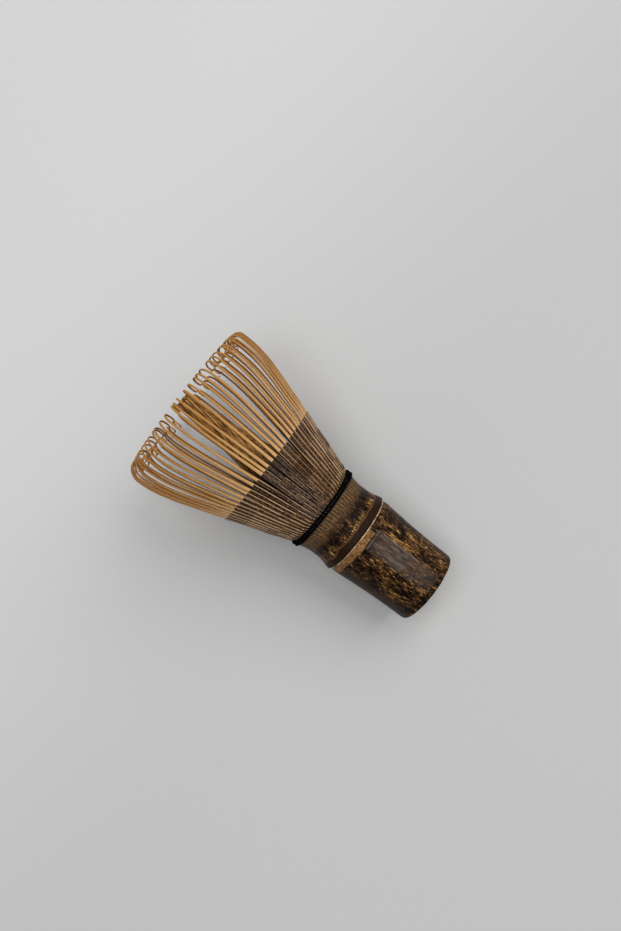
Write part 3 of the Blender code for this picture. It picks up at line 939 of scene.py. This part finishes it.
def root_band(name, radius, wall):
    """The uncut band at the root of one strip, spun round the axis and centred on +X."""
    deselect()
    low, high = ROOT_FOOT, ROOT_FOOT + BAND_HEIGHT
    middle = (radius - wall / 2, 0, (low + high) / 2)
    bpy.ops.mesh.primitive_plane_add(size=1, location=middle, rotation=(math.radians(90), 0, 0))
    band = bpy.context.object
    band.name = name
    bpy.ops.object.mode_set(mode="EDIT")
    bpy.ops.mesh.select_all(action="SELECT")
    bpy.ops.transform.resize(value=(wall, 1, high - low))
    angle = math.tau / STRIPS - BAND_GAP / radius
    bpy.ops.mesh.spin(steps=8, angle=angle, center=(0, 0, 0), axis=(0, 0, 1))
    object_mode()
    settle(band)
    face_out(band)
    points = [point.co for point in band.data.vertices]
    turned = math.atan2(sum(point.y for point in points), sum(point.x for point in points))
    band.rotation_euler.z = -turned
    settle(band)
    return band


def make_outer_strips(*materials):
    """Strips of outer tines. Each tine leans a little its own way, less so at the edges of a strip, and the
    shoulders are rounder towards -X."""
    rng = random.Random(7)
    patterns = tine_patterns(materials)
    root = Vector((LEAN_RADIUS, 0, LEAN_HEIGHT))
    last = TINES_PER_STRIP - 1
    for strip in range(STRIPS):
        azimuth = strip * math.tau / STRIPS
        blades = []
        for i in range(TINES_PER_STRIP):
            roundness = 0.42 - 0.42 * math.cos(azimuth) + rng.uniform(-0.25, 0.25)
            pattern = min(PATTERNS - 1, max(0, round(roundness * (PATTERNS - 1))))
            tine = copy_of(patterns[pattern], f"tine_{strip}_{i}")
            sideways = max(-MOST_SIDEWAYS, min(MOST_SIDEWAYS, rng.gauss(0, SIDEWAYS_LEAN)))
            if i == 0:
                sideways = -abs(sideways) * EDGE_LEAN_SHARE
            if i == last:
                sideways = abs(sideways) * EDGE_LEAN_SHARE
            inward = -abs(rng.gauss(0, RADIAL_LEAN))
            lean = Matrix.Rotation(sideways, 4, "X") @ Matrix.Rotation(inward, 4, "Y")
            about_root = Matrix.Translation(root) @ lean @ Matrix.Translation(-root)
            turn = Matrix.Rotation(azimuth + (i - last / 2) * TINE_PITCH, 4, "Z")
            tine.matrix_world = turn @ about_root
            settle(tine)
            blades.append(tine)
        band = root_band(f"root_{strip}", OUTER_BAND_RADIUS, OUTER_BAND_WALL)
        add_materials(band, *materials)
        assign(band, SPLIT_SLOT, lambda face: True)
        band.rotation_euler.z = azimuth
        settle(band)
        number = f"{strip + 1:02d}"
        piece = join(f"outer_tines_piece_{number}", [*blades, band])
        smooth(piece, 50)
        finished(piece, f"outer_tines_{number}", "shaved_bamboo", [f"outer_strip_{number}"])
    discard(*patterns)


def core_outline(layer, top, curl_radius, curl_angle, outwards):
    """Sections of an inner tine: it closes in to its layer of the core and ends in a small curl."""
    foot = ROOT_FOOT + 2.4 * MM
    line = [(CORE_ROOT_RADIUS, ROOT_FOOT + 0.1 * MM), (CORE_ROOT_RADIUS, foot)]
    for i in range(1, CORE_STEPS + 1):
        share = i / CORE_STEPS
        closing = (CORE_ROOT_RADIUS - layer) * (1 - share) ** CORE_CLOSING
        line.append((layer + closing, foot + (top - foot) * share))
    straight = len(line)
    lean = heading(line[-2], line[-1])
    side = -1 if outwards else 1
    curl = [(side * line[-1][0], line[-1][1])]
    end_radius = curl_radius * CORE_CURL_TIGHTENING
    arc_on(curl, side * lean, curl_radius, curl_angle, CORE_CURL_STEPS, end_radius)
    line += [(side * radius, height) for radius, height in curl[1:]]
    sections = []
    for i, (radius, height) in enumerate(line):
        share = min(1.0, i / straight)
        tip = max(0.0, (i - straight + 1) / CORE_CURL_STEPS)
        width = (0.82 - 0.24 * share - 0.24 * tip) * MM
        thickness = (0.5 - 0.14 * share - 0.14 * tip) * MM
        sections.append((radius, height, width, thickness))
    return sections


def make_core(core):
    """Strips of inner tines, twisted together into the core."""
    rng = random.Random(23)
    patterns = []
    for i in range(TINES_PER_STRIP):
        layer = CORE_LAYERS[i % len(CORE_LAYERS)]
        curl_radius = rng.uniform(0.6, 1.2) * MM
        top = CORE_TOP - 0.9 * MM - rng.uniform(0, 1.8) * MM
        curl_angle = math.radians(rng.uniform(120, 290))
        sections = core_outline(layer, top, curl_radius, curl_angle, rng.random() < 0.6)
        tine, _ = grow_blade(f"core_pattern_{i}", sections)
        face_out(tine)
        patterns.append(tine)
    root = Matrix.Translation((0, 0, LEAN_HEIGHT))
    last = TINES_PER_STRIP - 1
    for strip in range(STRIPS):
        azimuth = strip * math.tau / STRIPS + TINE_PITCH / 2
        blades = []
        for i in range(TINES_PER_STRIP):
            tine = copy_of(patterns[i], f"core_{strip}_{i}")
            turn = azimuth + (i - last / 2) * TINE_PITCH + rng.gauss(0, CORE_UNEVENNESS) * TINE_PITCH
            tilt = Matrix.Rotation(rng.gauss(0, CORE_LEAN), 4, "X")
            tine.matrix_world = Matrix.Rotation(turn, 4, "Z") @ root @ tilt @ root.inverted()
            settle(tine)
            blades.append(tine)
        band = root_band(f"core_root_{strip}", CORE_BAND_RADIUS, CORE_BAND_WALL)
        band.rotation_euler.z = azimuth
        settle(band)
        number = f"{strip + 1:02d}"
        piece = join(f"core_tines_piece_{number}", [*blades, band])
        twist = {"deform_method": "TWIST", "deform_axis": "Z", "angle": CORE_TWIST}
        apply_modifier(piece, "SIMPLE_DEFORM", **twist, limits=(0.25, 1.0))
        smooth(piece, 40)
        finished(piece, "culm", "core_bamboo", [f"inner_strip_{number}"], core)
    discard(*patterns)


def twisted_cord(name, ring_radius, height, twists, start):
    """Two plies laid round each other and closed into a ring, which closes at the angle start."""
    deselect()
    ply = COTTON_DIAMETER * PLY_SHARE
    bpy.ops.mesh.primitive_circle_add(
        vertices=8, radius=ply, location=(0, PLY_SPREAD * ply, 0), rotation=(0, math.radians(90), 0)
    )
    cord = bpy.context.object
    cord.name = name
    settle(cord)
    other = copy_of(cord, name + "_ply")
    other.rotation_euler.x = math.pi
    settle(other)
    cord = join(name, [cord, other])
    pitch = math.tau * ring_radius / twists
    turns = {"axis": "X", "screw_offset": pitch, "iterations": twists}
    apply_modifier(cord, "SCREW", **turns, steps=12, render_steps=12, use_merge_vertices=False)
    bpy.ops.curve.primitive_bezier_circle_add(radius=ring_radius, location=(0, 0, 0))
    ring = bpy.context.object
    ring.data.resolution_u = 48
    cord.location = (0, 0, 0)
    apply_modifier(cord, "CURVE", object=ring, deform_axis="POS_X")
    discard(ring)
    cord.location = (0, 0, height)
    cord.rotation_euler.z = start
    settle(cord)
    face_out(cord, 0.04 * MM)
    return cord


def make_thread(cotton):
    """Two turns of thread round the outer strips, one between the two rings of tines, and the knot."""
    turns = (
        ("thread_lower", "thread_lower_turn", OUTER_TWISTS, 1.9),
        ("thread_upper", "thread_upper_turn", OUTER_TWISTS, 1.94),
        ("thread_spacer", "thread_spacer_turn", SPACER_TWISTS, 2.0),
    )
    for name, node, twists, start in turns:
        low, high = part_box(node)
        ring_radius = high.x - COTTON_DIAMETER / 2
        turn = twisted_cord(name, ring_radius, (low.z + high.z) / 2, twists, start)
        if name != "thread_spacer":
            roughen(turn, 1.4 * MM, 0.14 * MM)
        smooth(turn, 60)
        finished(turn, "culm", "thread", [node], cotton)
    make_knot(cotton)


def make_knot(cotton):
    """A half knot with two short ends, behind the whisk. It is tied on +X and then carried to its place."""
    low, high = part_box("thread_knot")
    middle = (low + high) / 2
    outward = Vector((middle.x, middle.y, 0)).normalized()
    azimuth = math.atan2(outward.y, outward.x)
    pieces = []
    for tilt, shift in ((0.5, -0.35), (-0.5, 0.35), (1.4, 0.0)):
        deselect()
        bpy.ops.mesh.primitive_torus_add(
            major_radius=0.42 * MM, minor_radius=0.24 * MM, major_segments=20, minor_segments=10
        )
        loop = bpy.context.object
        upright = Matrix.Rotation(math.radians(90), 4, "Y")
        loop.matrix_world = Matrix.Translation((0, shift * MM, 0)) @ Matrix.Rotation(tilt, 4, "X") @ upright
        settle(loop)
        pieces.append(loop)
    for side in (-1, 1):
        deselect()
        bpy.ops.mesh.primitive_cylinder_add(vertices=10, radius=0.22 * MM, depth=2.2 * MM)
        tail = bpy.context.object
        place = Matrix.Translation((0, side * 0.75 * MM, -0.95 * MM))
        tail.matrix_world = place @ Matrix.Rotation(side * 0.45, 4, "X")
        settle(tail)
        pieces.append(tail)
    knot = join("thread_knot_piece", pieces)
    knot.matrix_world = Matrix.Translation(middle) @ Matrix.Rotation(azimuth, 4, "Z")
    settle(knot)
    smooth(knot, 60)
    finished(knot, "culm", "thread", ["thread_knot"], cotton)


# ---------------------------------------------------------------- stage, light and camera

VIEW_TARGET = Vector((9.45, 0, 60)) * MM
VIEW_DISTANCE = 325 * MM
VIEW_ELEVATION = math.radians(4.9)
IMAGE_UP = Vector((0.7928, 0, 0.6095))
FOCAL_LENGTH = 35.36
BOARD_BEHIND_CROWN = Vector((0, 36.2 * MM, 104 * MM))
BOARD_BEHIND_HANDLE = Vector((0, 13.7 * MM, 1 * MM))


def turned_to(right, up, out):
    """The turn that carries X, Y and Z to these three directions."""
    return Matrix((right, up, out)).transposed().to_4x4()


def make_stage():
    """A pale board behind the whisk, which leans on it, with painted light brightening it towards the top. It
    is clear from behind.
    """
    deselect()
    bpy.ops.mesh.primitive_plane_add(size=6)
    board = bpy.context.object
    board.name = "backboard"
    along = (BOARD_BEHIND_CROWN - BOARD_BEHIND_HANDLE).normalized()
    towards = along.cross(Vector((1, 0, 0))).normalized()
    if towards.y > 0:
        towards = -towards
    across = along.cross(towards).normalized()
    middle = (BOARD_BEHIND_CROWN + BOARD_BEHIND_HANDLE) / 2 - towards * 0.2 * MM
    board.matrix_world = Matrix.Translation(middle) @ turned_to(across, along, towards)
    settle(board)
    finish = Finish("pale_board", roughness=0.8, specular=0.2)
    grain = finish.noise(2 * MM, detail=3)
    # Painted light: the board's colour brightens towards the top, standing in for uneven light falling on it.
    upper = finish.rising(finish.axis("Z"), 20 * MM, 190 * MM)
    painted_light_board = finish.mix(upper, (0.53, 0.53, 0.525), (0.63, 0.63, 0.625))
    finish.colour(finish.mix(finish.times(grain, 0.06), painted_light_board, (0.8, 0.8, 0.79)))
    behind = finish.nodes.new("ShaderNodeNewGeometry").outputs["Backfacing"]
    clear = finish.nodes.new("ShaderNodeBsdfTransparent")
    either = finish.nodes.new("ShaderNodeMixShader")
    finish.links.new(behind, either.inputs[0])
    finish.links.new(finish.shader.outputs[0], either.inputs[1])
    finish.links.new(clear.outputs[0], either.inputs[2])
    finish.links.new(either.outputs[0], finish.nodes["Material Output"].inputs["Surface"])
    board.data.materials.append(finish.material)


def area_light(name, place, size, watts):
    """A square light aimed at the whisk."""
    bpy.ops.object.light_add(type="AREA", location=place)
    light = bpy.context.object
    light.name = name
    light.data.size = size
    light.data.energy = watts
    light.rotation_mode = "QUATERNION"
    light.rotation_quaternion = (VIEW_TARGET - Vector(place)).to_track_quat("-Z", "Y")


def make_light():
    area_light("window", (1.3, -1.5, 0.3), 1.5, 24)
    area_light("front", (-0.2, -1.5, 0.5), 1.0, 11)
    world = bpy.data.worlds.new("room")
    world.use_nodes = True
    background = world.node_tree.nodes["Background"]
    background.inputs["Color"].default_value = (0.95, 0.97, 1, 1)
    background.inputs["Strength"].default_value = 0.27
    bpy.context.scene.world = world
    bpy.context.scene.view_settings.view_transform = "Standard"


def make_camera():
    bpy.ops.object.camera_add()
    camera = bpy.context.object
    camera.name = "camera"
    towards_camera = Vector((0, -math.cos(VIEW_ELEVATION), math.sin(VIEW_ELEVATION)))
    right = IMAGE_UP.cross(towards_camera).normalized()
    up = towards_camera.cross(right)
    place = VIEW_TARGET + towards_camera * VIEW_DISTANCE
    camera.matrix_world = Matrix.Translation(place) @ turned_to(right, up, towards_camera)
    camera.data.lens = FOCAL_LENGTH
    bpy.context.scene.camera = camera


make_camera()
make_light()
make_stage()
skin, end = smoked_skin(), raw_end()
make_handle(skin, end, burnished_flat())
make_septum(end)
make_neck(neck_skin(), end)
make_scar_rim(scar_rim())
make_outer_strips(tine_skin(), peeled_bamboo(), split_bamboo(), inner_bamboo())
make_core(core_bamboo())
make_thread(black_cotton())
